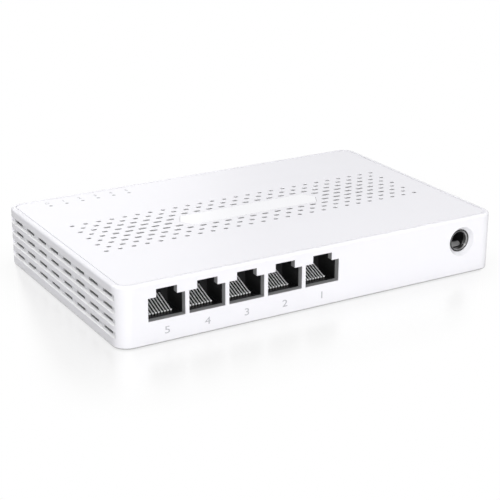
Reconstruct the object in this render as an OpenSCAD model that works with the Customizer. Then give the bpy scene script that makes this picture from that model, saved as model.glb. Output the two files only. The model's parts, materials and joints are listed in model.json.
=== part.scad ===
// Five-port desktop network switch: a two-part plastic case, a circuit board with a ganged
// socket block, and a barrel power inlet.
// Origin: middle of the case, on the surface that its feet stand on. +Z is up, the sockets
// face -Y, and +X is to the right of someone who looks at the sockets.

/* [Case] */
// Width of the case
case_w = 140; // [138:0.5:146]
// Depth of the case, front to back
case_d = 88.6; // [88:0.1:92]
// Height of the case without its feet
case_h = 19.5; // [19.4:0.1:21]
// Radius of the upright corners
case_corner_r = 4.8; // [4:0.1:5]
// Rounding of the top edge
top_edge_r = 0.8; // [0.6:0.1:1.4]
// Thickness of the wall with the sockets
front_wall = 2.2; // [2:0.1:2.2]
// Thickness of the other walls
side_wall = 1.4; // [1.4:0.1:2]
// Thickness of the top
roof = 1.6; // [1.4:0.1:1.6]
// Thickness of the bottom cover's floor
floor_t = 2; // [1.6:0.1:2.2]
// Height that the feet stand proud of the bottom
foot_stand = 0.4; // [0.3:0.1:2]

/* [Vents] */
// Rows of slots in the top
vent_rows = 9; // [7:2:9]
// Slots in the longest row
vent_columns = 26; // [22:2:26]
// Distance between slots along a row
vent_pitch_x = 4.74; // [4:0.01:4.8]
// Distance between rows
vent_pitch_y = 3.34; // [3:0.01:3.4]
// Width of a top slot across its length
vent_slot_w = 1.35; // [1:0.05:1.5]
// Grooves on each end wall
groove_count = 4; // [3:1:4]
// Distance between grooves
groove_pitch = 3.94; // [3.6:0.01:3.94]
// Height of a groove at the wall's face
groove_h = 2.25; // [2.1:0.05:2.4]
// Depth of a groove
groove_depth = 0.75; // [0.4:0.05:1]
// Slots in each groove
groove_slots = 8; // [6:1:8]

/* [Sockets] */
// Number of network sockets
port_count = 5; // [3:1:5]
// Distance between socket centres
port_pitch = 13.75; // [13.5:0.05:14]
// Width of a socket's window
window_w = 12.4; // [11.9:0.1:12.5]
// Height of a socket's window below its latch notch
window_h = 7.48; // [7:0.02:7.5]
// Width of the latch notch
notch_w = 7; // [6:0.1:7.2]
// Height of the latch notch
notch_h = 2.59; // [2.4:0.01:2.6]
// Thickness of a contact wire
wire_d = 0.38; // [0.34:0.02:0.5]
// Slope of the contact wires at rest, in degrees
wire_slope = 20; // [18:1:20]

/* [Power inlet] */
// Diameter of the inlet's bore
barrel_d = 6.2; // [6:0.1:6.4]
// Diameter of the centre pin
pin_d = 2.1; // [2:0.1:2.5]

/* [Hidden] */
$fn = 48;
slack = 0.02;                       // gap round a piece pressed into a plastic pocket
over = 0.5;                         // how far a cut runs past the surface that it opens

base = foot_stand;                  // underside of the case
top_z = base + case_h;
roof_z = top_z - roof;              // underside of the top
front_y = -case_d / 2;
back_y = case_d / 2;
edge_line_inset = 1.55;             // fine line that runs round the top
edge_line_w = 0.35;
edge_line_depth = 0.25;

board_t = 1.6;
board_z = base + 3.3;               // underside of the circuit board
board_top = board_z + board_t;
board_w = case_w - 17.4;
board_front = front_y + 2.7;
board_back = back_y - 5.1;

boss_x = case_w / 2 - 5.4;          // case screws, one in each corner
boss_y = case_d / 2 - 5.8;
boss_r = 3;
foot_x = case_w / 2 - 15;
foot_y = case_d / 2 - 13.3;
foot_r = 5;
foot_recess = 0.6;

screw_places = [[24, front_y + 10.3], [-54, 24]];    // board screws
peg_places = [[54, 30], [-58, -3]];                  // moulded pegs that locate the board
board_post_r = 2.6;

badge_flat = 24;                    // half the length of the badge's straight sides
badge_tip = 26.5;                   // half its length from point to point
badge_half_w = 4.75;
badge_pocket = 0.8;
badge_clear = badge_tip + 1.7;      // the three middle rows of slots stop here

led_count = port_count + 1;
led_pitch = 5.87;
led_first_x = -case_w / 2 + 12.8;
led_y = back_y - 8.2;
led_d = 1.2;

window_z = base + 7.2;
port_first_x = -case_w / 2 + 15.9;  // leftmost socket
block_start = front_wall + 0.1;     // depths are measured back from the front face
block_end = 17.8;
cavity_end = 12;                    // where the contacts' comb begins
cavity_w = window_w + 0.1;
cavity_floor = window_z - 0.1;
wire_count = 8;
wire_pitch = 1.016;
knuckle_r = 0.27;                   // rounded front bend of a contact
knuckle_w = wire_d + 0.1;
bend_depth = 4.6;
bend_z = window_z + 0.4;
wire_len = 8.2;
strip_z = base + 6.1;               // fixed part of the contacts, buried in the carrier
strip_w = 0.45;
strip_t = 0.35;
carrier_z = board_top + 0.1;
carrier_top = base + 6.75;
carrier_start = 3.9;
carrier_end = 17.6;
carrier_w = 11.2;
pin_tip_z = base + 2.7;
block_pegs = [0.5, 3.5];            // in socket pitches from the leftmost socket

inlet_x = case_w / 2 - 13.5;
inlet_z = board_top + 6.5;
inlet_nose_r = 3.85;
inlet_front = 1.3;                  // depth of the inlet's nose, at the bottom of the case's dish
inlet_body_start = front_wall + 0.1;
inlet_end = 16.5;
inlet_w = 9;
ring_r = 3.43;
ring_depth = 1.7;
bore_end = 13;
leaf_w = 5;
leaf_t = 0.3;
leaf_root_depth = 14.3;             // where the leaf spring turns
leaf_root_drop = 3.9;               // below the inlet's axis
leaf_crest_depth = 4.7;
leaf_crest_drop = 1.8;
leaf_tip_depth = 3.6;
leaf_tip_drop = 2.75;
pin_shank_r = 0.85;                 // the pin's narrower root, held in the body

chip_x = 10;
chip_y = 6;
chip_w = 20;
chip_t = 1.6;
pad_t = 0.4;
sink_w = 24;
sink_base = 1.6;
sink_h = 7;
sink_fins = 9;
transformer_y = -16.5;

PORTS = [for (n = [1:port_count]) n];

// Socket 1 is the rightmost, as they are numbered on the case.
function port_x(n) = port_first_x + (port_count - n) * port_pitch;
function led_x(i) = led_first_x + i * led_pitch;
function wire_x(i) = (i - (wire_count - 1) / 2) * wire_pitch;
function pin_depth(i) = 14 + 2.3 * (i % 2);
function depth(d) = front_y + d;

// Slots grow from the edge of the pattern inwards, over its first four rows or columns.
function vent_len(ring) = [1.6, 1.95, 2.4, 2.8][min(ring, 3)];

// ---------------------------------------------------------------- shared shapes

module rounded_rect(w, d, r) {
    square([w, d - 2 * r], center = true);
    square([w - 2 * r, d], center = true);
    for (x = [-1, 1], y = [-1, 1])
        translate([x * (w / 2 - r), y * (d / 2 - r)]) circle(r);
}

module plate(w, d, h, r) {
    linear_extrude(h) rounded_rect(w, d, r);
}

// A bar of the given half width whose top edges are rounded by f.
module soft_section(half, h, f) {
    translate([-half, 0]) square([2 * half, h - f]);
    translate([f - half, 0]) square([2 * (half - f), h]);
    for (side = [-1, 1]) translate([side * (half - f), h - f]) circle(f);
}

// A plate with upright corners of radius r and a rounded top edge.
module soft_block(w, d, h, r, f) {
    rotate([90, 0, 90]) linear_extrude(w - 2 * r, center = true) soft_section(d / 2, h, f);
    rotate([90, 0, 0]) linear_extrude(d - 2 * r, center = true) soft_section(w / 2, h, f);
    for (x = [-1, 1], y = [-1, 1])
        translate([x * (w / 2 - r), y * (d / 2 - r), 0])
            rotate_extrude() intersection() {
                soft_section(r, h, f);
                square([r, h]);
            }
}

module slot_2d(len, w) {
    square([len - w, w], center = true);
    for (end = [-1, 1]) translate([end * (len - w) / 2, 0]) circle(w / 2);
}

// A box from one corner, in case coordinates: x, depth behind the front face, z.
module front_box(x0, d0, z0, w, d, h) {
    translate([x0 - w / 2, depth(d0), z0]) cube([w, d, h]);
}

// A round bar that runs back from the front face.
module front_rod(x, d0, z, r, len) {
    translate([x, depth(d0), z]) rotate([-90, 0, 0]) cylinder(r = r, h = len);
}

module socket_window(n, w, h, nw, nh, z, d0, len) {
    front_box(port_x(n), d0, z, w, len, h);
    front_box(port_x(n), d0, z + h - over, nw, len, nh + over);
}

module at_corners(x, y) {
    for (sx = [-1, 1], sy = [-1, 1]) translate([sx * x, sy * y, 0]) children();
}

// ---------------------------------------------------------------- case

module top_vents() {
    middle = (vent_rows - 1) / 2;
    for (row = [0:vent_rows - 1]) {
        columns = vent_columns - row % 2;
        y = (middle - row) * vent_pitch_y;
        for (column = [0:columns - 1]) {
            x = (column - (columns - 1) / 2) * vent_pitch_x;
            ring = min(row, vent_rows - 1 - row, column, columns - 1 - column);
            if (abs(x) > badge_clear || abs(row - middle) > 1.5)
                translate([x, y]) slot_2d(vent_len(ring), vent_slot_w);
        }
    }
}

module badge_outline(grow) {
    tip = badge_tip + grow;
    flat = badge_flat + grow / 2;
    half = badge_half_w + grow;
    polygon([[-tip, 0], [-flat, half], [flat, half], [tip, 0], [flat, -half], [-flat, -half]]);
}

// Grooves with sloping sills and through slots of one end wall; side is -1 for the left end, 1 for the right.
module end_grooves(side) {
    groove_len = case_d - 6.4;
    sill = 0.65;
    slot_len = 6.4;
    slot_pitch = 10.1;
    top_groove = base + 16.65 - groove_h;
    out = side * groove_depth;
    for (i = [0:groove_count - 1]) translate([side * case_w / 2, 0, top_groove - i * groove_pitch]) {
        translate([0, groove_len / 2, 0]) rotate([90, 0, 0]) linear_extrude(groove_len)
            polygon([[-out, sill], [out, -sill], [out, groove_h], [-out, groove_h]]);
        for (j = [0:groove_slots - 1])
            translate([-side_wall - over, (j - (groove_slots - 1) / 2) * slot_pitch - slot_len / 2, sill])
                cube([2 * (side_wall + over), slot_len, groove_h - sill]);
    }
}

// Snap tongues sit on the bottom cover's rib and catch in pockets of the front and back walls.
module snap_row(w, reach, z, h) {
    for (x = [-50, 0, 50]) translate([x - w / 2, back_y - side_wall - 0.3, z]) cube([w, reach + 0.3, h]);
    for (x = [24, 40]) translate([x - w / 4, front_y + front_wall + 0.3 - reach - 0.3, z])
        cube([w / 2, reach + 0.3, h]);
}

module top_cover() {
    wall_gap = (front_wall - side_wall) / 2;
    color("#f4f4f8") difference() {
        union() {
            difference() {
                translate([0, 0, base]) soft_block(case_w, case_d, case_h, case_corner_r, top_edge_r);
                translate([0, wall_gap, base - over])
                    plate(case_w - 2 * side_wall, case_d - side_wall - front_wall,
                          case_h - roof + over, case_corner_r - side_wall);
            }
            at_corners(boss_x, boss_y) translate([0, 0, base + floor_t])
                cylinder(r = boss_r, h = roof_z - base - floor_t + over);
        }
        at_corners(boss_x, boss_y) translate([0, 0, base]) cylinder(r = 1.1, h = 13);
        translate([0, 0, top_z - edge_line_depth]) difference() {
            plate(case_w - 2 * edge_line_inset, case_d - 2 * edge_line_inset, 1,
                  case_corner_r - edge_line_inset);
            translate([0, 0, -over])
                plate(case_w - 2 * (edge_line_inset + edge_line_w),
                      case_d - 2 * (edge_line_inset + edge_line_w), 2,
                      case_corner_r - edge_line_inset - edge_line_w);
        }
        translate([0, 0, roof_z - over]) linear_extrude(roof + 2 * over) top_vents();
        translate([0, 0, top_z - badge_pocket]) linear_extrude(1) badge_outline(0.1);
        for (i = [0:led_count - 1]) translate([led_x(i), led_y, roof_z - over])
            cylinder(r = led_d / 2 + 0.05, h = roof + 2 * over);
        for (side = [-1, 1]) end_grooves(side);
        for (n = PORTS)
            socket_window(n, window_w, window_h, notch_w, notch_h, window_z, -over, front_wall + 2 * over);
        translate([inlet_x, front_y, inlet_z]) rotate([-90, 0, 0])
            cylinder(r1 = 5.05, r2 = 4, h = inlet_front);
        front_rod(inlet_x, -over, inlet_z, inlet_nose_r + 0.1, front_wall + 2 * over);
        snap_row(8, 0.6, base + 1.85, 1);
    }
}

// The bottom cover lies inside the top cover's walls, flush with their lower edge.
module bottom_cover() {
    rib = 1.2;
    corner_gap = 4.6;               // the rib stops this far from the screw posts' middles
    tongue_inset = 0.1;
    wall_gap = (front_wall - side_wall) / 2;
    inner_w = case_w - 2 * (side_wall + tongue_inset);
    inner_d = case_d - side_wall - front_wall - 2 * tongue_inset;
    inner_r = case_corner_r - side_wall;
    color("#eeeef2") difference() {
        union() {
            translate([0, wall_gap, base]) plate(inner_w, inner_d, floor_t, inner_r);
            difference() {
                translate([0, wall_gap, base]) plate(inner_w, inner_d, 3, inner_r);
                translate([0, wall_gap, base])
                    plate(inner_w - 2 * rib, inner_d - 2 * rib, 4, inner_r - rib);
                at_corners(boss_x, boss_y) translate([-corner_gap, -corner_gap, base + floor_t])
                    cube([2 * corner_gap, 2 * corner_gap, 4]);
            }
            snap_row(7, 0.4, base + 1.95, 0.7);
            for (p = concat(screw_places, peg_places)) translate([p[0], p[1], base])
                cylinder(r = board_post_r, h = board_z - base);
            for (p = peg_places) translate([p[0], p[1], base]) cylinder(r = 1, h = board_top + 0.8 - base);
        }
        at_corners(foot_x, foot_y) translate([0, 0, base - over])
            cylinder(r = foot_r + 0.15, h = foot_recess + over);
        at_corners(boss_x, boss_y) translate([0, 0, base - over]) {
            cylinder(r = 1.5, h = floor_t + 2 * over);
            cylinder(r = 2.7, h = 1 + over);
        }
        for (p = screw_places) translate([p[0], p[1], base + 0.9]) cylinder(r = 0.8, h = 4);
        for (side = [-1, 1], i = [-3:3], j = [-1, 0, 1])
            translate([side * 40 + i * 4.4, j * 9, base - over])
                linear_extrude(floor_t + 2 * over) rotate(90) slot_2d(6.4, 1.6);
        translate([0, 0, base - over]) plate(44, 34, 0.25 + over, 1.5);
    }
}

module badge_plate() {
    color("#fafafc") translate([0, 0, top_z - badge_pocket + 0.02])
        linear_extrude(badge_pocket - 0.02) badge_outline(0);
}

module rubber_feet() {
    color("#55575a") at_corners(foot_x, foot_y) rotate_extrude()
        polygon([[0, 0], [foot_r - 0.3, 0], [foot_r, 0.3], [foot_r, foot_stand + foot_recess],
                 [0, foot_stand + foot_recess]]);
}

// A pan-head screw with its head at z = 0, pointing up, and a cross recess in the head.
module screw(head_r, head_h, shank_r, len) {
    difference() {
        union() {
            cylinder(r = head_r, h = head_h);
            cylinder(r = shank_r, h = head_h + len);
        }
        for (turn = [0, 90]) rotate(turn)
            translate([-head_r * 0.6, -head_r * 0.12, -over])
                cube([head_r * 1.2, head_r * 0.24, head_h * 0.6 + over]);
    }
}

module case_screws() {
    color("#8c8f94") at_corners(boss_x, boss_y)
        translate([0, 0, base + 0.15]) screw(2.4, 0.85, 1.08, 8);
}

module board_screws() {
    color("#b9bcc0") for (p = screw_places)
        translate([p[0], p[1], board_top + 1.3]) mirror([0, 0, 1]) screw(2, 1.3, 0.78, 4);
}

// One clear moulding carries the light of every lamp to the top.
module light_guide() {
    bar_h = 1.4;
    lamp_top = board_top + 1;
    bar_z = roof_z - 0.1 - bar_h;
    bar_len = led_x(led_count - 1) - led_x(0) + 7;
    color("#e6eef2") {
        translate([led_x(0) - 3.5, led_y - 1.3, bar_z]) cube([bar_len, 2.6, bar_h]);
        for (i = [0:led_count - 1]) translate([led_x(i), led_y, 0]) {
            translate([0, 0, lamp_top + 0.3]) cylinder(r = 1.1, h = bar_z - lamp_top + 0.2);
            translate([0, 0, bar_z]) cylinder(r = led_d / 2, h = top_z - 0.05 - bar_z);
        }
        for (end = [led_x(0) - 3.5, led_x(led_count - 1) + 1.9])
            translate([end, led_y - 1.3, board_top]) cube([1.6, 2.6, bar_z + 0.2 - board_top]);
    }
}

// ---------------------------------------------------------------- board

module main_board() {
    color("#1d6b3a") difference() {
        translate([-board_w / 2, board_front, board_z])
            cube([board_w, board_back - board_front, board_t]);
        for (p = screw_places) translate([p[0], p[1], board_z - over]) cylinder(r = 1.2, h = 3);
        for (p = peg_places) translate([p[0], p[1], board_z - over]) cylinder(r = 1.1, h = 3);
        for (p = block_pegs) translate([port_first_x + p * port_pitch, depth(10), board_z - over])
            cylinder(r = 1.6, h = 3);
        for (n = PORTS, i = [0:wire_count - 1])
            translate([port_x(n) + wire_x(i), depth(pin_depth(i)), board_z - over])
                cylinder(r = 0.4, h = 3);
        front_box(inlet_x, leaf_root_depth - 0.5, board_z - over, 2.8, 1, 3);
        front_box(inlet_x, inlet_end + 0.1, board_z - over, 2.8, 1, 3);
    }
}

module port_block() {
    left = port_first_x - port_pitch / 2 + 0.05;
    block_w = port_count * port_pitch - 0.1;
    block_top = window_z + window_h + notch_h + 0.55;
    comb_w = 0.75;
    color("#161616") difference() {
        union() {
            translate([left, depth(block_start), board_top])
                cube([block_w, block_end - block_start, block_top - board_top]);
            for (p = block_pegs) translate([port_first_x + p * port_pitch, depth(10), board_z + 0.1])
                cylinder(r = 1.5, h = board_t + over);
        }
        for (n = PORTS) {
            socket_window(n, cavity_w, window_h + 0.2, notch_w + 0.13, notch_h + 0.03, cavity_floor,
                          block_start - over, cavity_end - block_start + over);
            front_box(port_x(n), carrier_start - 0.05, board_top - over, carrier_w + 0.1,
                      carrier_end - carrier_start + 0.1, cavity_floor - board_top + 2 * over);
            for (i = [0:wire_count - 1])
                front_box(port_x(n) + wire_x(i), cavity_end - over, cavity_floor, comb_w, 1.3 + over, 4.4);
            front_box(port_x(n), cavity_end + 1.8, cavity_floor + 1.2, 11, 6, 8.2);
        }
    }
}

// The fixed lower part of one contact: a strip in the carrier, and a pin through the board.
module terminal(i, grow) {
    w = strip_w + 2 * grow;
    t = strip_t + 2 * grow;
    end = pin_depth(i) + strip_w / 2;
    front_box(wire_x(i), bend_depth - 0.25 - grow, strip_z - grow, w, end - bend_depth + 0.25 + 2 * grow, t);
    front_box(wire_x(i), bend_depth - 0.25 - grow, strip_z, w, 0.5 + 2 * grow,
              bend_z - knuckle_r - 0.05 - strip_z + 10 * grow);
    front_box(wire_x(i), end - strip_w - grow, pin_tip_z, w, strip_w + 2 * grow, strip_z + 0.1 - pin_tip_z);
}

module port_terminals(n) {
    color("#c9a64a") translate([port_x(n), 0, 0]) for (i = [0:wire_count - 1]) terminal(i, 0);
}

module port_carrier(n) {
    color("#222222") difference() {
        front_box(port_x(n), carrier_start, carrier_z, carrier_w, carrier_end - carrier_start,
                  carrier_top - carrier_z);
        translate([port_x(n), 0, 0]) for (i = [0:wire_count - 1]) terminal(i, slack);
    }
}

// The sprung upper part of the contacts, which a plug presses down about their front bend.
module port_contacts(n) {
    color("#d8dade") translate([port_x(n), depth(bend_depth), bend_z])
        for (i = [0:wire_count - 1]) translate([wire_x(i), 0, 0]) {
            rotate([0, 90, 0]) cylinder(r = knuckle_r, h = knuckle_w, center = true);
            rotate([wire_slope - 90, 0, 0]) cylinder(r = wire_d / 2, h = wire_len);
        }
}

// ---------------------------------------------------------------- power inlet

module dc_jack_body() {
    slot_w = leaf_w + 0.6;
    color("#1a1a1a") difference() {
        union() {
            front_box(inlet_x, inlet_body_start, board_top, inlet_w, inlet_end - inlet_body_start, 11);
            front_rod(inlet_x, inlet_front, inlet_z, inlet_nose_r, 2);
        }
        front_rod(inlet_x, inlet_front - over, inlet_z, barrel_d / 2, bore_end - inlet_front + over);
        front_rod(inlet_x, inlet_front - over, inlet_z, ring_r + slack, ring_depth + over);
        front_rod(inlet_x, bore_end - over, inlet_z, pin_shank_r, inlet_end - bore_end + 2 * over);
        front_box(inlet_x, leaf_tip_depth - 0.5, inlet_z - 4.7, slot_w,
                  leaf_root_depth + 1.2 - leaf_tip_depth, 3.4);
        front_box(inlet_x, leaf_root_depth - 0.4, board_top - over, 2.6, 0.8, 3);
    }
}

// Plated ring in the inlet's mouth, with an opened inner edge.
module dc_jack_ring() {
    inner = barrel_d / 2 - 0.05;
    lead = 0.3;
    color("#c4c7cc") translate([inlet_x, depth(inlet_front), inlet_z]) rotate([-90, 0, 0])
        rotate_extrude() polygon([[inner + lead, 0], [ring_r, 0], [ring_r, ring_depth],
                                  [inner, ring_depth], [inner, lead]]);
}

module dc_jack_pin() {
    tip_depth = 5.6;
    tip = 0.5;
    lug_w = 2.4;
    color("#c4c7cc") {
        translate([inlet_x, depth(tip_depth), inlet_z]) rotate([-90, 0, 0]) {
            cylinder(r1 = pin_d / 2 - 0.4, r2 = pin_d / 2, h = tip);
            translate([0, 0, tip]) cylinder(r = pin_d / 2, h = bore_end - tip_depth - tip);
            translate([0, 0, tip]) cylinder(r = pin_shank_r, h = inlet_end + 0.4 - tip_depth - tip);
        }
        front_box(inlet_x, inlet_end + 0.4, base + 2.4, lug_w, 0.4, inlet_z + lug_w / 2 - base - 2.4);
    }
}

// The leaf presses on the outside of a plug, and turns down about its root when one goes in.
// The profile is drawn with x along the bore, from the rolled root, and y up.
module dc_jack_spring() {
    root_r = 0.4;
    half_t = leaf_t / 2;
    crest = [leaf_root_depth - leaf_crest_depth, leaf_root_drop - leaf_crest_drop];
    tip = [leaf_root_depth - leaf_tip_depth, leaf_root_drop - leaf_tip_drop];
    color("#c8cacd") translate([inlet_x, depth(leaf_root_depth), inlet_z - leaf_root_drop]) {
        rotate([0, 90, 0]) cylinder(r = root_r, h = leaf_w, center = true);
        rotate([90, 0, -90]) linear_extrude(leaf_w, center = true)
            polygon([[0, -half_t], [crest[0], crest[1] - half_t], [tip[0], tip[1] - half_t],
                     [tip[0], tip[1] + half_t], [crest[0], crest[1] + half_t], [0, half_t]]);
    }
}

module dc_jack_terminals() {
    color("#c4c7cc")
        front_box(inlet_x, leaf_root_depth - 0.2, base + 2.4, 2.4, 0.4,
                  inlet_z - leaf_root_drop - 0.45 - base - 2.4);
}

// ---------------------------------------------------------------- parts on the board

// A moulded chip body with leads along two sides, or all four.
module chip(w, d, h, leads_x, leads_y, pitch) {
    translate([-w / 2, -d / 2, 0.1]) cube([w, d, h - 0.1]);
    for (side = [-1, 1]) {
        for (i = [0:1:leads_x - 1])
            translate([(i - (leads_x - 1) / 2) * pitch - pitch / 4, side * d / 2 - 0.9, 0])
                cube([pitch / 2, 1.8, 0.2]);
        for (i = [0:1:leads_y - 1])
            translate([side * w / 2 - 0.9, (i - (leads_y - 1) / 2) * pitch - pitch / 4, 0])
                cube([1.8, pitch / 2, 0.2]);
    }
}

module switch_chip() {
    color("#202124") translate([chip_x, chip_y, board_top]) chip(chip_w, chip_w, chip_t, 18, 18, 1);
}

module thermal_pad() {
    color("#8fa3b5") translate([chip_x - 9, chip_y - 9, board_top + chip_t]) cube([18, 18, pad_t]);
}

module heat_sink() {
    gap = (sink_w - 1) / (sink_fins - 1);
    color("#9aa0a6") translate([chip_x - sink_w / 2, chip_y - sink_w / 2, board_top + chip_t + pad_t]) {
        cube([sink_w, sink_w, sink_base]);
        for (i = [0:sink_fins - 1]) translate([i * gap, 0, 0]) cube([1, sink_w, sink_h]);
    }
}

module transformer(n) {
    color("#1c1c1e") translate([port_x(n), transformer_y, board_top]) chip(12.7, 7, 4.2, 12, 0, 1.016);
}

module termination_resistors() {
    color("#2b2b2d") for (n = PORTS, i = [-1.5:1.5])
        translate([port_x(n) + i * 2.4 - 0.5, transformer_y + 6.2, board_top]) cube([1, 1.8, 0.5]);
}

module crystal() {
    color("#c9ccd0") translate([31, 14, board_top]) {
        translate([0, 0, 0.3]) linear_extrude(3.2) slot_2d(11, 4.6);
        linear_extrude(0.3) slot_2d(12, 5.4);
    }
}

module status_leds() {
    color("#f2f4e8") for (i = [0:led_count - 1])
        translate([led_x(i) - 0.8, led_y - 0.4, board_top]) cube([1.6, 0.8, 0.8]);
}

module config_memory() {
    color("#202124") translate([-14, 14, board_top]) chip(5, 4, 1.6, 4, 0, 1.27);
}

module power_capacitors() {
    color("#3a3f52") for (y = [-22, -12]) translate([40, y, board_top]) {
        translate([-3.3, -3.3, 0]) cube([6.6, 6.6, 0.8]);
        translate([0, 0, 0.8]) cylinder(r = 3.15, h = 6.4);
    }
}

module power_inductor() {
    color("#4a4a4c") translate([44, 4, board_top]) {
        translate([-3.6, -3.6, 0]) cube([7.2, 7.2, 3.2]);
        translate([0, 0, 3.2]) cylinder(r = 2.8, h = 0.5);
    }
}

module voltage_regulator() {
    color("#202124") translate([33, 2, board_top]) chip(5, 4, 1.6, 4, 0, 1.27);
}

module input_diode() {
    color("#242426") translate([50, -18, board_top]) chip(4.3, 3.6, 2.3, 0, 1, 3);
}

top_cover();
bottom_cover();
badge_plate();
rubber_feet();
case_screws();
light_guide();
main_board();
board_screws();
port_block();
for (n = PORTS) {
    port_carrier(n);
    port_contacts(n);
    port_terminals(n);
    transformer(n);
}
dc_jack_body();
dc_jack_ring();
dc_jack_pin();
dc_jack_spring();
dc_jack_terminals();
switch_chip();
thermal_pad();
heat_sink();
termination_resistors();
crystal();
status_leds();
config_memory();
power_capacitors();
power_inductor();
voltage_regulator();
input_diode();
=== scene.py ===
"""Looks of a small white five-socket desktop network switch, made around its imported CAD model.

The frame's origin is the middle of the case, on the surface that its feet stand on, with +Z up.
The sockets face -Y and the power inlet is toward +X. Lengths are in metres.
"""

import json
import math

import bmesh
import bpy
from mathutils import Matrix, Vector


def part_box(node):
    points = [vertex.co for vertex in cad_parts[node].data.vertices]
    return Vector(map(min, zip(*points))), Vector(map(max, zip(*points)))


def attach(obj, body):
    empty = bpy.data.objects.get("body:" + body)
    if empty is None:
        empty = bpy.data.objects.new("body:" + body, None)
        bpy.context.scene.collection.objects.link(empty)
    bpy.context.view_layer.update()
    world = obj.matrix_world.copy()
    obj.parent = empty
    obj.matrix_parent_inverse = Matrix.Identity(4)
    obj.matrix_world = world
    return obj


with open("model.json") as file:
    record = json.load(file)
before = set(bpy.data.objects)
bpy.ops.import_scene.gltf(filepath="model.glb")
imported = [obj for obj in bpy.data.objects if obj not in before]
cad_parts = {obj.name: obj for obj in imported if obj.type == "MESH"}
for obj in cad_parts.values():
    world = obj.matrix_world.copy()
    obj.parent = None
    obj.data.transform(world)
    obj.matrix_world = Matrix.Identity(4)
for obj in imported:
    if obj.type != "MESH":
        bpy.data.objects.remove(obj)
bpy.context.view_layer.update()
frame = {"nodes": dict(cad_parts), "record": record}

MM = 0.001
PORTS = range(1, 6)
OPENINGS = {o["name"]: o["box_m"] for o in frame["record"]["physics"]["openings"]}
BLACK, WHITE = (0, 0, 0), (1, 1, 1)

case_low, case_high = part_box("top_cover")
base_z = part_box("bottom_cover")[0].z


def add_object(name, data):
    """A new object in the scene that holds this mesh, text, camera or light."""
    piece = bpy.data.objects.new(name, data)
    bpy.context.scene.collection.objects.link(piece)
    return piece


def add_mesh(name, shape, material, place):
    """An object from a bmesh, which is freed, moved to a point."""
    data = bpy.data.meshes.new(name)
    shape.to_mesh(data)
    shape.free()
    data.transform(Matrix.Translation(place))
    data.materials.append(material)
    return add_object(name, data)


# ---------------------------------------------------------------- node materials

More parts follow.
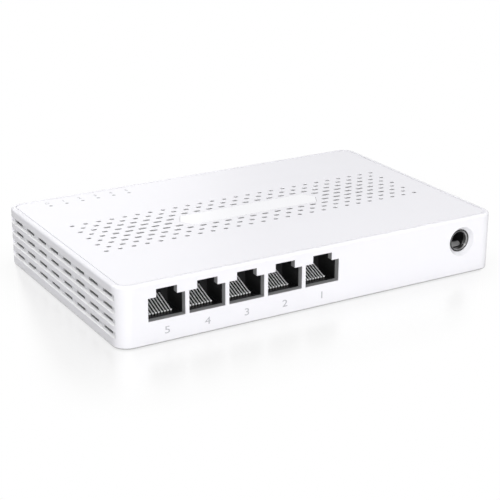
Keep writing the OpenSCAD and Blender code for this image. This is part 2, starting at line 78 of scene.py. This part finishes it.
class Finish:
    """A Principled material, with short ways to add the nodes that the finishes here share.

    Sizes are in metres, and patterns lie in object space, which is the CAD frame for every piece.
    """

    MIX_FACTOR, MIX_FIRST, MIX_SECOND, MIX_COLOUR = 0, 6, 7, 2  # the sockets that a Mix node has for colours
    EDGE_TURN = 0.06  # 1 minus the cosine by which a rounded normal turns where the edge mask is full
    SOFT = 0.02 * MM  # how far a mask's border fades, each way

    def __init__(self, name, **constants):
        self.material = bpy.data.materials.new(name)
        self.material.use_nodes = True
        tree = self.material.node_tree
        self.nodes, self.links = tree.nodes, tree.links
        self.shader = self.nodes["Principled BSDF"]
        for socket, value in constants.items():
            self.shader.inputs[socket.replace("_", " ")].default_value = value
        self.place = self.add("ShaderNodeTexCoord").outputs["Object"]
        self.axes = self.add("ShaderNodeSeparateXYZ", Vector=self.place).outputs

    def add(self, kind, settings=None, **inputs):
        """A node of this kind, with its settings, and with numbers, colours or outputs on its inputs."""
        node = self.nodes.new(kind)
        for key, value in (settings or {}).items():
            setattr(node, key, value)
        for key, value in inputs.items():
            self.put(node.inputs[key], value)
        return node

    def put(self, socket, value):
        """Links an output to the socket, or sets its number or colour."""
        if isinstance(value, bpy.types.NodeSocket):
            self.links.new(value, socket)
        elif socket.type == "RGBA":
            socket.default_value = (*value, 1)
        else:
            socket.default_value = value

    def calc(self, operation, a, b=0.0, clamp=False):
        node = self.nodes.new("ShaderNodeMath")
        node.operation, node.use_clamp = operation, clamp
        self.put(node.inputs[0], a)
        self.put(node.inputs[1], b)
        return node.outputs[0]

    def overlap(self, first, *others):
        """1 where all of these masks are 1."""
        for mask in others:
            first = self.calc("MULTIPLY", first, mask)
        return first

    def noise(self, size, detail=2, stretch=(1, 1, 1)):
        """Cloudy pattern from 0 to 1 with features of this size, longer along an axis by its stretch."""
        mapping = self.add("ShaderNodeMapping", Vector=self.place)
        mapping.inputs["Scale"].default_value = [1 / (size * s) for s in stretch]
        return self.add("ShaderNodeTexNoise", Vector=mapping.outputs[0], Scale=1.0,
                        Detail=detail).outputs["Fac"]

    def cells(self, size, feature="F1"):
        """Distance from the middle of a cell of this size, or by its feature from the cell's edge."""
        return self.add("ShaderNodeTexVoronoi", {"feature": feature}, Vector=self.place,
                        Scale=1 / size).outputs["Distance"]

    def ramp(self, value, low, high, out_low=0.0, out_high=1.0):
        """Maps low..high to out_low..out_high smoothly, and holds it beyond them."""
        node = self.add("ShaderNodeMapRange", {"interpolation_type": "SMOOTHSTEP"}, Value=value)
        limits = {"From Min": low, "From Max": high, "To Min": out_low, "To Max": out_high}
        for key, number in limits.items():
            node.inputs[key].default_value = number
        return node.outputs[0]

    def spread(self, pattern, low=0.0, high=1.0):
        """A noise pattern, which lies mostly from 0.3 to 0.7, widened to low..high."""
        return self.ramp(pattern, 0.3, 0.7, low, high)

    def inside(self, axis, low, high, soft=SOFT):
        """1 where the point's X, Y or Z lies between low and high, 0 elsewhere."""
        value = self.axes[axis]
        return self.overlap(self.ramp(value, low - soft, low + soft),
                            self.ramp(value, high - soft, high + soft, 1, 0))

    def mix(self, factor, first, second):
        """Between two colours, or outputs that hold colours."""
        node = self.nodes.new("ShaderNodeMix")
        node.data_type = "RGBA"
        self.put(node.inputs[self.MIX_FACTOR], factor)
        self.put(node.inputs[self.MIX_FIRST], first)
        self.put(node.inputs[self.MIX_SECOND], second)
        return node.outputs[self.MIX_COLOUR]

    def mix_shaders(self, factor, first, second):
        node = self.nodes.new("ShaderNodeMixShader")
        for socket, value in zip(node.inputs, (factor, first, second)):
            self.put(socket, value)
        return node.outputs[0]

    def rounded(self, radius):
        """The surface's normal, turned to round its edges off to this radius."""
        return self.add("ShaderNodeBevel", {"samples": 4}, Radius=radius).outputs[0]

    def edges(self, rounded):
        """1 on the edges that this rounded normal rounds off, 0 on flat faces."""
        flat = self.add("ShaderNodeNewGeometry").outputs["Normal"]
        turn = self.add("ShaderNodeVectorMath", {"operation": "DOT_PRODUCT"})
        self.links.new(rounded, turn.inputs[0])
        self.links.new(flat, turn.inputs[1])
        return self.ramp(turn.outputs["Value"], 1 - self.EDGE_TURN, 1.0, 1, 0)

    def relief(self, height, depth, normal=None):
        """A normal bumped by a height pattern to this depth, over the surface's own normal or another one."""
        node = self.add("ShaderNodeBump", Strength=1.0, Distance=depth, Height=height)
        if normal is not None:
            self.links.new(normal, node.inputs["Normal"])
        return node.outputs[0]

    def done(self, colour, roughness, normal=None, **others):
        """The material, with these outputs on its shader's sockets."""
        self.put(self.shader.inputs["Base Color"], colour)
        self.put(self.shader.inputs["Roughness"], roughness)
        if normal is not None:
            self.put(self.shader.inputs["Normal"], normal)
        for socket, value in others.items():
            self.put(self.shader.inputs[socket], value)
        return self.material


def shade(colour, factor, lift=0.0):
    """The colour made darker or lighter, with no channel above 1."""
    return tuple(min(1.0, c * factor + lift) for c in colour)


def moulded(name, colour, roughness, grain=0.18 * MM, depth=0.004 * MM, edge=0.12 * MM, wear=0.35,
            painted_light=None):
    """Injection-moulded plastic: etched grain, faint flow marks and slightly rubbed edges.

    The last argument is a function of the finish that returns (mask, colour) pairs: regions of painted shade
    and painted highlight.
    """
    uneven = 0.006  # how far handling changes the roughness, each way
    f = Finish(name, IOR=1.49)
    flow = f.noise(26 * MM, detail=3, stretch=(1.6, 1, 1))
    handling = f.noise(7 * MM, detail=4)
    rubs = f.noise(3 * MM, detail=3)
    fine = f.noise(grain)
    pits = f.noise(grain * 0.35, detail=1)
    rounded = f.rounded(edge)
    rubbed = f.overlap(f.edges(rounded), f.ramp(rubs, 0.35, 0.65, 0.3, 1.0))
    base = f.mix(f.spread(flow), shade(colour, 0.99), colour)
    base = f.mix(f.ramp(fine, 0.35, 0.7, 0, 0.035), base, shade(colour, 0.8))
    base = f.mix(f.calc("MULTIPLY", rubbed, wear), base, shade(colour, 1.06, lift=0.004))
    # Painted shade and painted highlights, where given, are laid over the plastic's colour.
    for where, paint in painted_light(f) if painted_light else ():
        base = f.mix(where, base, paint)
    gloss = f.calc("ADD", f.spread(handling, roughness - uneven, roughness + uneven),
                   f.calc("MULTIPLY", fine, 0.02))
    gloss = f.calc("SUBTRACT", gloss, f.calc("MULTIPLY", rubbed, 0.06), clamp=True)
    height = f.calc("ADD", fine, f.calc("MULTIPLY", pits, 0.5))
    return f.done(base, gloss, f.relief(height, depth, rounded))


def brushed(name, colour, roughness, along=(1, 12, 1), line=0.05 * MM, tarnish=0.85, metallic=1.0):
    """Bare or plated metal with drawing lines along one axis, slight tarnish and polished edges."""
    f = Finish(name, Metallic=metallic)
    lines = f.noise(line, stretch=along)
    cloud = f.noise(1.3 * MM, detail=3)
    rounded = f.rounded(0.05 * MM)
    base = f.mix(f.ramp(cloud, 0.35, 0.7), colour, shade(colour, tarnish))
    base = f.mix(f.calc("MULTIPLY", f.edges(rounded), 0.5), base, shade(colour, 1.15))
    gloss = f.calc("ADD", f.spread(cloud, roughness - 0.05, roughness + 0.08),
                   f.calc("MULTIPLY", lines, 0.1), clamp=True)
    return f.done(base, gloss, f.relief(lines, 0.001 * MM, rounded))


def dress(material, *nodes):
    """Gives CAD nodes this material."""
    for name in nodes:
        for slot in frame["nodes"][name].material_slots:
            slot.material = material


def per_port(prefix, suffix=""):
    return [f"{prefix}{n}{suffix}" for n in PORTS]


# The inner sides of the case's openings are painted darker: painted shade for the shade of the dark housings
# and the hollow behind them.
# Each of these depths, from the outer face, is a little more than the thickness of the wall.
WINDOW_DEPTH, SLOT_DEPTH, VENT_DEPTH = 2.4 * MM, 1.5 * MM, 1.7 * MM
# The outermost rims get no painted shade and stay white.
WINDOW_RIM, VENT_RIM = 0.2 * MM, 0.15 * MM
WINDOW_MARGIN = 0.3 * MM  # a window reaches past its stated opening by less than this
GROOVE_DEPTH = 0.75 * MM  # of the grooves in the end walls
SLOT_ROW_HALF = 41 * MM
SLOTS_FROM, SLOTS_TO = 2.9 * MM, 16.8 * MM  # heights above the bottom cover's underside
SILLS_FROM, SILLS_BELOW_TOP = 1 * MM, 2 * MM
VENTS_HALF_X, VENTS_HALF_Y = 62 * MM, 16 * MM
# Colours of the painted shade on the inner sides of the windows, end slots and vents.
WINDOW_PAINTED_SHADE, SLOT_PAINTED_SHADE, VENT_PAINTED_SHADE = (0.42, 0.42, 0.43), (0.55, 0.55, 0.56), (0.5, 0.5, 0.51)
# A painted highlight: the upward sills in the end grooves are painted whiter than the case's plastic.
SILL_PAINTED_HIGHLIGHT = (0.99, 0.99, 1.0)


def repainted_openings(f):
    """Masks and colours: painted shade on the inner sides of windows, slots and vents, and a painted highlight
    on the grooves' sills.
    """
    front, top, end = case_low.y, case_high.z, case_high.x
    boxes = [OPENINGS[name] for name in per_port("port_", "_mouth")]
    latch_boxes = [OPENINGS[name] for name in per_port("port_", "_latch_channel")]
    left, right = min(low[0] for low, _ in boxes), max(high[0] for _, high in boxes)
    bottom, notch_top = min(low[2] for low, _ in boxes), max(high[2] for _, high in latch_boxes)
    windows = f.overlap(f.inside("X", left - WINDOW_MARGIN, right + WINDOW_MARGIN),
                        f.inside("Z", bottom - WINDOW_MARGIN, notch_top + WINDOW_MARGIN),
                        f.inside("Y", front + WINDOW_RIM, front + WINDOW_DEPTH, soft=0.08 * MM))

    sideways = f.calc("ABSOLUTE", f.axes["X"])
    groove_floor = end - GROOVE_DEPTH
    slots = f.overlap(f.ramp(sideways, end - SLOT_DEPTH - f.SOFT, end - SLOT_DEPTH),
                      f.ramp(sideways, groove_floor - 3 * f.SOFT, groove_floor - f.SOFT, 1, 0),
                      f.inside("Y", -SLOT_ROW_HALF, SLOT_ROW_HALF),
                      f.inside("Z", base_z + SLOTS_FROM, base_z + SLOTS_TO))

    # Painted highlight on the sills: surfaces in the grooves that face up are picked out by their normal.
    normal = f.add("ShaderNodeNewGeometry").outputs["Normal"]
    upward = f.add("ShaderNodeSeparateXYZ", Vector=normal).outputs["Z"]
    sills = f.overlap(f.ramp(sideways, groove_floor - 0.05 * MM, groove_floor), f.ramp(upward, 0.3, 0.6),
                      f.inside("Z", base_z + SILLS_FROM, top - SILLS_BELOW_TOP))

    vents = f.overlap(f.inside("X", -VENTS_HALF_X, VENTS_HALF_X), f.inside("Y", -VENTS_HALF_Y, VENTS_HALF_Y),
                      f.inside("Z", top - VENT_DEPTH, top - VENT_RIM, soft=0.05 * MM))
    return (windows, WINDOW_PAINTED_SHADE), (slots, SLOT_PAINTED_SHADE), (vents, VENT_PAINTED_SHADE), (sills, SILL_PAINTED_HIGHLIGHT)


CASE_WHITE = (0.87, 0.865, 0.90)
SOCKET_BLACK = (0.012, 0.012, 0.013)

# The case's plastic carries painted shade on its openings' inner sides and a painted highlight on its grooves'
# sills.
dress(moulded("case_plastic", CASE_WHITE, roughness=0.235, depth=0.003 * MM, painted_light=repainted_openings),
      "top_cover")
dress(moulded("base_plastic", shade(CASE_WHITE, 0.96), roughness=0.4), "bottom_cover")
dress(moulded("badge_plastic", (0.95, 0.95, 0.97), roughness=0.12, depth=0.0008 * MM, edge=0.1 * MM),
      "badge_plate")
dress(moulded("socket_plastic", SOCKET_BLACK, roughness=0.4, grain=0.1 * MM, wear=0.9), "port_block")
dress(moulded("carrier_plastic", SOCKET_BLACK, roughness=0.4, grain=0.1 * MM, wear=0.9),
      *per_port("port_", "_carrier"))
dress(moulded("inlet_plastic", SOCKET_BLACK, roughness=0.32, grain=0.12 * MM, wear=0.9), "dc_jack_body")

dress(brushed("contact_metal", (0.96, 0.96, 0.98), roughness=0.36, along=(1, 10, 4), metallic=0.15,
              tarnish=0.97),
      *per_port("port_", "_contacts"))
dress(brushed("terminal_metal", (0.24, 0.23, 0.22), roughness=0.4),
      *per_port("port_", "_terminals"), "dc_jack_terminals")
dress(brushed("nickel_plate", (0.5, 0.5, 0.5), roughness=0.24, along=(1, 3, 1), metallic=0.95),
      "dc_jack_ring", "dc_jack_pin")
dress(brushed("spring_metal", (0.42, 0.42, 0.42), roughness=0.42, metallic=0.6), "dc_jack_spring")
dress(brushed("screw_steel", (0.55, 0.56, 0.58), roughness=0.3, along=(1, 1, 6)),
      "case_screws", "board_screws")
dress(brushed("sink_aluminium", (0.72, 0.73, 0.75), roughness=0.34, along=(1, 16, 1), line=0.12 * MM),
      "heat_sink")
dress(brushed("can_metal", (0.70, 0.70, 0.69), roughness=0.2, along=(10, 1, 1)), "crystal")


def rubber(name, colour):
    """Soft matt rubber with fine specks and a little pale dust."""
    f = Finish(name, IOR=1.5)
    speck = f.noise(0.12 * MM, detail=3)
    dust = f.noise(2.5 * MM, detail=4)
    base = f.mix(f.ramp(dust, 0.45, 0.75, 0, 0.35), colour, shade(colour, 1.7))
    return f.done(base, f.spread(speck, 0.62, 0.85), f.relief(speck, 0.01 * MM, f.rounded(0.15 * MM)))


dress(rubber("foot_rubber", (0.10, 0.10, 0.105)), "rubber_feet")


def clear_plastic(name):
    """Half-clear moulding, cloudy inside."""
    f = Finish(name, IOR=1.49, Transmission_Weight=0.5)
    cloud = f.noise(0.6 * MM, detail=3)
    tint = f.mix(f.ramp(cloud, 0.3, 0.8), (0.86, 0.87, 0.9), (0.74, 0.76, 0.8))
    return f.done(tint, f.spread(cloud, 0.12, 0.3), f.relief(cloud, 0.004 * MM))


dress(clear_plastic("clear_guide"), "light_guide")


def circuit_board(name):
    """Green mask over copper tracks, with tinned pads, woven glass under it and bare laminate on the edges."""
    mask_colour, track_colour, pad_colour = (0.012, 0.105, 0.045), (0.03, 0.19, 0.075), (0.62, 0.62, 0.6)
    laminate = (0.45, 0.42, 0.22)
    skin = 0.05 * MM
    low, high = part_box("main_board")
    f = Finish(name, IOR=1.55)
    tracks = f.ramp(f.cells(4.2 * MM, "DISTANCE_TO_EDGE"), 0.05, 0.09, 1, 0)
    pads = f.ramp(f.cells(2.6 * MM), 0.1, 0.14, 1, 0)
    bands = f.add("ShaderNodeTexWave", {"wave_type": "BANDS"}, Vector=f.place, Scale=1 / (1.1 * MM))
    weave = bands.outputs["Fac"]
    base = f.mix(tracks, mask_colour, track_colour)
    base = f.mix(f.calc("MULTIPLY", pads, 0.8), base, pad_colour)
    base = f.mix(f.calc("MULTIPLY", weave, 0.12), base, shade(mask_colour, 1.8))
    base = f.mix(f.inside("Z", low.z + skin, high.z - skin), base, laminate)
    height = f.calc("ADD", tracks, f.calc("MULTIPLY", weave, 0.15))
    return f.done(base, f.spread(f.noise(5 * MM, detail=3), 0.22, 0.38), f.relief(height, 0.02 * MM))


dress(circuit_board("circuit_board"), "main_board")


def chip(name, body, lead, lead_top):
    """Moulded epoxy above lead_top, tinned leads below it."""
    f = Finish(name, IOR=1.55)
    sparkle = f.noise(0.06 * MM)
    cloud = f.noise(2 * MM, detail=3)
    leads = f.ramp(f.axes["Z"], lead_top, lead_top + f.SOFT, 1, 0)
    base = f.mix(f.ramp(sparkle, 0.45, 0.8, 0, 0.5), body, shade(body, 2.2))
    base = f.mix(leads, base, lead)
    normal = f.relief(sparkle, 0.006 * MM, f.rounded(0.08 * MM))
    return f.done(base, f.spread(cloud, 0.42, 0.58), normal, Metallic=leads)


LEAD_THICKNESS = 0.21 * MM
board_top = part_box("switch_chip")[0].z
dress(chip("chip_plastic", (0.022, 0.022, 0.024), (0.7, 0.7, 0.69), board_top + LEAD_THICKNESS),
      "switch_chip", "config_memory", "voltage_regulator", "input_diode", *per_port("transformer_"))


def speckled(name, colour, second, size, roughness=0.6):
    """A body of one colour with specks of a second one."""
    f = Finish(name)
    specks = f.noise(size, detail=3)
    return f.done(f.mix(f.ramp(specks, 0.4, 0.6), colour, second),
                  f.spread(f.noise(size * 8), roughness - 0.08, roughness + 0.08),
                  f.relief(specks, 0.01 * MM, f.rounded(0.06 * MM)))


dress(speckled("thermal_silicone", (0.35, 0.36, 0.40), (0.46, 0.47, 0.5), 0.3 * MM), "thermal_pad")
dress(speckled("resistor_body", (0.02, 0.02, 0.022), (0.04, 0.04, 0.045), 0.1 * MM), "termination_resistors")
dress(speckled("lamp_body", (0.78, 0.76, 0.62), (0.85, 0.84, 0.74), 0.2 * MM, roughness=0.35), "status_leds")
dress(speckled("capacitor_sleeve", (0.01, 0.012, 0.03), (0.02, 0.022, 0.05), 0.5 * MM, roughness=0.3),
      "power_capacitors")
dress(speckled("ferrite", (0.06, 0.06, 0.065), (0.1, 0.1, 0.11), 0.15 * MM, roughness=0.7), "power_inductor")


# ---------------------------------------------------------------- printed marks and the sticker

INK_THICKNESS = 0.015 * MM
FACING_FRONT = Matrix.Rotation(math.radians(90), 4, "X")
FACING_UP = Matrix.Identity(4)


def ink(name, colour):
    """Pad-printed ink: slightly uneven cover with a soft satin surface."""
    f = Finish(name, IOR=1.5)
    cover = f.noise(0.25 * MM, detail=3)
    return f.done(f.mix(f.ramp(cover, 0.35, 0.75), colour, shade(colour, 1.12)), f.spread(cover, 0.4, 0.6),
                  f.relief(cover, 0.002 * MM))


def printed_digit(name, digit, height, centre, facing, material, widen=1.0):
    """A digit as a thin plate of ink of this height, centred on a point, wider than the font's by widen."""
    text = bpy.data.curves.new(name, "FONT")
    text.body, text.size, text.extrude = digit, height * 1.4, INK_THICKNESS / 2
    text.align_x, text.align_y = "CENTER", "CENTER"
    holder = add_object(name + "_outline", text)
    bpy.context.view_layer.update()
    mesh = bpy.data.meshes.new_from_object(holder.evaluated_get(bpy.context.evaluated_depsgraph_get()))
    bpy.data.objects.remove(holder)
    low = Vector([min(v.co[i] for v in mesh.vertices) for i in range(3)])
    high = Vector([max(v.co[i] for v in mesh.vertices) for i in range(3)])
    size = height / (high.y - low.y)
    mesh.transform(Matrix.Diagonal((size * widen, size, 1, 1)) @ Matrix.Translation(-(low + high) / 2))
    mesh.transform(Matrix.Translation(centre) @ facing)
    mesh.materials.append(material)
    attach(add_object(name, mesh), "case")


def power_sign(name, radius, stroke, place, material):
    """An open ring with an upright bar in its gap, lying on a surface at this place."""
    steps, half_gap = 40, math.radians(35)
    bar_middle, bar_length = radius * 0.8, radius * 0.9
    inner = radius - stroke
    section = (inner, 0), (radius, 0), (radius, INK_THICKNESS), (inner, INK_THICKNESS)
    mesh = bmesh.new()
    rings = []
    for i in range(steps + 1):
        angle = math.pi / 2 + half_gap + 2 * (math.pi - half_gap) * i / steps
        rings.append([mesh.verts.new((r * math.cos(angle), r * math.sin(angle), z)) for r, z in section])
    for a, b in zip(rings, rings[1:]):
        for j in range(4):
            k = (j + 1) % 4
            mesh.faces.new((a[j], a[k], b[k], b[j]))
    mesh.faces.new(rings[0])
    mesh.faces.new(rings[-1][::-1])
    bar = Matrix.Translation((0, bar_middle, INK_THICKNESS / 2)) @ Matrix.Diagonal(
        (stroke, bar_length, INK_THICKNESS, 1))
    bmesh.ops.create_cube(mesh, size=1, matrix=bar)
    bmesh.ops.recalc_face_normals(mesh, faces=mesh.faces)
    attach(add_mesh(name, mesh, material, place), "case")


NUMBER_Z = 3.5 * MM  # middle of the numbers under the sockets, above the bottom cover's underside
label_ink = ink("label_ink", (0.44, 0.44, 0.47))
for n in PORTS:
    carrier_low, carrier_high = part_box(f"port_{n}_carrier")
    port_x = (carrier_low.x + carrier_high.x) / 2
    printed_digit(f"port_number_{n}", str(n), 2.3 * MM,
                  Vector((port_x, case_low.y - INK_THICKNESS / 2, base_z + NUMBER_Z)),
                  FACING_FRONT, label_ink, widen=1.3)

# Each lamp has a faint mark behind it: a power sign, then the socket's number.
MARK_AWAY = 3.0 * MM
MARK_INSET = 0.6 * MM  # from the ends of the row of lamps on the board to the first and last marks
LAMPS = len(PORTS) + 1  # one for each socket after the one for power
leds_low, leds_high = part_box("status_leds")
guide_low, guide_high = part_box("light_guide")
mark_y = (guide_low.y + guide_high.y) / 2 + MARK_AWAY
faint_ink = ink("faint_ink", (0.36, 0.36, 0.38))


def mark_x(i):
    first, last = leds_low.x + MARK_INSET, leds_high.x - MARK_INSET
    return first + (last - first) * i / (LAMPS - 1)


for n in PORTS:
    printed_digit(f"lamp_number_{n}", str(n), 1.7 * MM,
                  Vector((mark_x(n), mark_y, case_high.z + INK_THICKNESS / 2)), FACING_UP, faint_ink)
power_sign("lamp_power_sign", 0.75 * MM, 0.2 * MM, Vector((mark_x(0), mark_y, case_high.z)), faint_ink)

LABEL_WIDTH, LABEL_LENGTH, LABEL_THICKNESS = 43 * MM, 33 * MM, 0.12 * MM
LABEL_CORNER = 1.2 * MM
LABEL_INSET, LABEL_LINE = 1.0 * MM, 0.3 * MM  # the printed border's distance from the edge, and its width
RECESS_DEPTH, LABEL_GAP = 0.25 * MM, 0.01 * MM  # the recess, and the gap between its ceiling and the sticker


def label_foil(name):
    """Brushed silver foil with a thin dark border and nothing else."""
    f = Finish(name, Metallic=0.6)
    fibre = f.noise(0.4 * MM, detail=3, stretch=(6, 1, 1))
    frames = []
    for inset in (LABEL_INSET, LABEL_INSET + LABEL_LINE):
        half_x, half_y = LABEL_WIDTH / 2 - inset, LABEL_LENGTH / 2 - inset
        frames.append(f.overlap(f.inside("X", -half_x, half_x), f.inside("Y", -half_y, half_y)))
    base = f.mix(f.ramp(fibre, 0.3, 0.8), (0.72, 0.72, 0.74), (0.62, 0.62, 0.64))
    base = f.mix(f.calc("SUBTRACT", *frames), base, (0.08, 0.08, 0.09))
    return f.done(base, f.spread(fibre, 0.3, 0.42), f.relief(fibre, 0.002 * MM))


def label():
    """A blank sticker that fills the shallow recess under the case."""
    mesh = bmesh.new()
    size = Matrix.Diagonal((LABEL_WIDTH, LABEL_LENGTH, LABEL_THICKNESS, 1))
    bmesh.ops.create_cube(mesh, size=1, matrix=size)
    upright = [e for e in mesh.edges if abs(e.verts[0].co.z - e.verts[1].co.z) > LABEL_THICKNESS / 2]
    bmesh.ops.bevel(mesh, geom=upright, offset=LABEL_CORNER, segments=6, affect="EDGES")
    middle = Vector((0, 0, base_z + RECESS_DEPTH - LABEL_GAP - LABEL_THICKNESS / 2))
    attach(add_mesh("underside_label", mesh, label_foil("label_foil"), middle), "case")


label()

# ---------------------------------------------------------------- floor

FLOOR_RADIUS = 6
CORNER_RADIUS = 4.8 * MM  # of the case's upright corners
SHINE, SHINE_REACH = 0.2, 48 * MM  # the table's reflection: its strength at the case, and where it ends
# The reflection shows in front of the object only, between two lines on the table. Each starts at a point,
# x and y, and runs from there at an angle, in degrees, from the -Y direction toward -X. The last value is 1
# where the reflection is on the line's -X side, and -1 where it is on its +X side.
SHINE_LIMITS = ((case_low.x, 40 * MM, 20.0, -1), (case_high.x, -40 * MM, 40.5, 1))
SHINE_BORDER = 0.01, 0.16  # tangents of the angles past a line between which the reflection fades in
SHINE_FALL = 1.3  # above 1, the reflection weakens sooner with distance
SKY_REACH = 20 * MM  # only what is nearer than this closes the sky above a point
# Painted contact shadow: how white the table is painted where none and half of the sky above it is open.
# Where all is open it is 1.
WHITE_CLOSED, WHITE_HALF = 0.4, 0.945


def outline_distance(f):
    """How far a point lies outside the case's rounded outline, seen from above; negative inside it."""
    beyond = [f.calc("SUBTRACT", f.calc("ABSOLUTE", f.axes[axis]), edge - CORNER_RADIUS)
              for axis, edge in (("X", case_high.x), ("Y", case_high.y))]
    outer = [f.calc("POWER", f.calc("MAXIMUM", value, 0.0), 2.0) for value in beyond]
    length = f.calc("SQRT", f.calc("ADD", *outer))
    inner = f.calc("MINIMUM", f.calc("MAXIMUM", *beyond), 0.0)
    return f.calc("SUBTRACT", f.calc("ADD", length, inner), CORNER_RADIUS)


def past_line(f, x, y, degrees, side):
    """0 on one side of a line on the table, fading to 1 on its other side."""
    angle = math.radians(degrees)
    c, s = math.cos(angle), math.sin(angle)
    from_x, from_y = f.calc("SUBTRACT", f.axes["X"], x), f.calc("SUBTRACT", f.axes["Y"], y)
    across = f.calc("SUBTRACT", f.calc("MULTIPLY", from_y, side * s), f.calc("MULTIPLY", from_x, side * c))
    along = f.calc("ADD", f.calc("MULTIPLY", from_x, -s), f.calc("MULTIPLY", from_y, -c))
    return f.ramp(f.calc("DIVIDE", across, f.calc("MAXIMUM", along, 1 * MM)), *SHINE_BORDER)


def floor():
    """A white studio table with a painted contact shadow and a trace of gloss, which throws back half of the
    light.
    """
    f = Finish("floor_card")
    cloud = f.noise(0.2, detail=3)
    matt = f.done(f.mix(cloud, (0.55, 0.55, 0.555), (0.57, 0.57, 0.57)), f.spread(cloud, 0.5, 0.6))
    shine = f.calc("POWER", f.ramp(outline_distance(f), 0.0, SHINE_REACH, 1.0, 0.0), SHINE_FALL)
    shine = f.overlap(shine, *[past_line(f, *limit) for limit in SHINE_LIMITS])
    # Painted contact shadow: the white that the camera sees on the table is darkened where nearby parts close
    # off the sky above it.
    open_sky = f.add("ShaderNodeAmbientOcclusion", {"samples": 8}, Distance=SKY_REACH).outputs["AO"]
    first_rise = WHITE_HALF - WHITE_CLOSED
    white_under_painted_shadow = f.calc("ADD", f.ramp(open_sky, 0.0, 0.5, 0.0, first_rise),
                       f.ramp(open_sky, 0.5, 1.0, WHITE_CLOSED, 1 - first_rise))
    bright = f.add("ShaderNodeEmission", Color=f.mix(white_under_painted_shadow, BLACK, WHITE)).outputs[0]
    mirror = f.add("ShaderNodeBsdfGlossy", Color=WHITE, Roughness=0.28).outputs[0]
    seen = f.mix_shaders(f.calc("MULTIPLY", shine, SHINE), bright, mirror)
    camera_ray = f.add("ShaderNodeLightPath").outputs["Is Camera Ray"]
    whole = f.mix_shaders(camera_ray, f.shader.outputs[0], seen)
    f.links.new(whole, f.nodes["Material Output"].inputs["Surface"])
    mesh = bmesh.new()
    bmesh.ops.create_circle(mesh, cap_ends=True, segments=96, radius=FLOOR_RADIUS)
    add_mesh("floor", mesh, matt, Vector((0, 0, 0)))


floor()

# ---------------------------------------------------------------- light and camera


def toward(azimuth, elevation):
    """A unit vector out from the object: azimuth 0 is in front of the sockets and 90 past the power inlet."""
    a, e = math.radians(azimuth), math.radians(elevation)
    return Vector((math.sin(a) * math.cos(e), -math.cos(a) * math.cos(e), math.sin(e)))


def studio(ambient):
    """An even dim room to light the object by, which is plain white to look at."""
    world = bpy.data.worlds.new("studio")
    bpy.context.scene.world = world
    world.use_nodes = True
    nodes, links = world.node_tree.nodes, world.node_tree.links
    nodes.clear()
    lit, seen = nodes.new("ShaderNodeBackground"), nodes.new("ShaderNodeBackground")
    lit.inputs["Strength"].default_value = ambient
    seen.inputs["Color"].default_value = (*WHITE, 1)
    ray = nodes.new("ShaderNodeLightPath")
    pick = nodes.new("ShaderNodeMixShader")
    links.new(ray.outputs["Is Camera Ray"], pick.inputs[0])
    links.new(lit.outputs[0], pick.inputs[1])
    links.new(seen.outputs[0], pick.inputs[2])
    links.new(pick.outputs[0], nodes.new("ShaderNodeOutputWorld").inputs[0])


def softbox(name, azimuth, elevation, width, power):
    """A far soft light, with its place and its width in degrees."""
    data = bpy.data.lights.new(name, "SUN")
    data.angle, data.energy = math.radians(width), power
    lamp = add_object(name, data)
    lamp.location = toward(azimuth, elevation)
    lamp.rotation_euler = lamp.location.to_track_quat("Z", "Y").to_euler()


studio(0.25)
softbox("key", azimuth=-12, elevation=15, width=40, power=2.4)
softbox("high_left", azimuth=-80, elevation=72, width=50, power=0.92)
softbox("back", azimuth=180, elevation=68, width=40, power=1.62)
softbox("back_glow", azimuth=160, elevation=14, width=18, power=0.075)

# The camera's place and its angles, in degrees, give the photograph's view of the case.
CAMERA_PLACE = Vector((-0.2246, -0.3851, 0.1714))
CAMERA_AZIMUTH, CAMERA_ELEVATION, CAMERA_ROLL = -30.285, 20.477, 0.174
LENS_MM, SENSOR_MM = 99.86, 36
NEAREST, FARTHEST = 0.01, 20


def camera():
    """The scene's camera, which looks against its direction out from the object and is rolled a little."""
    data = bpy.data.cameras.new("camera")
    data.lens, data.sensor_width = LENS_MM, SENSOR_MM
    data.clip_start, data.clip_end = NEAREST, FARTHEST
    back = toward(CAMERA_AZIMUTH, CAMERA_ELEVATION)
    right = Vector((0, 0, 1)).cross(back).normalized()
    up = back.cross(right)
    turn = Matrix((right, up, back)).transposed().to_4x4()
    roll = Matrix.Rotation(math.radians(CAMERA_ROLL), 4, "Z")
    piece = add_object("camera", data)
    piece.matrix_world = Matrix.Translation(CAMERA_PLACE) @ turn @ roll
    bpy.context.scene.camera = piece


camera()
bpy.context.scene.view_settings.view_transform = "Standard"
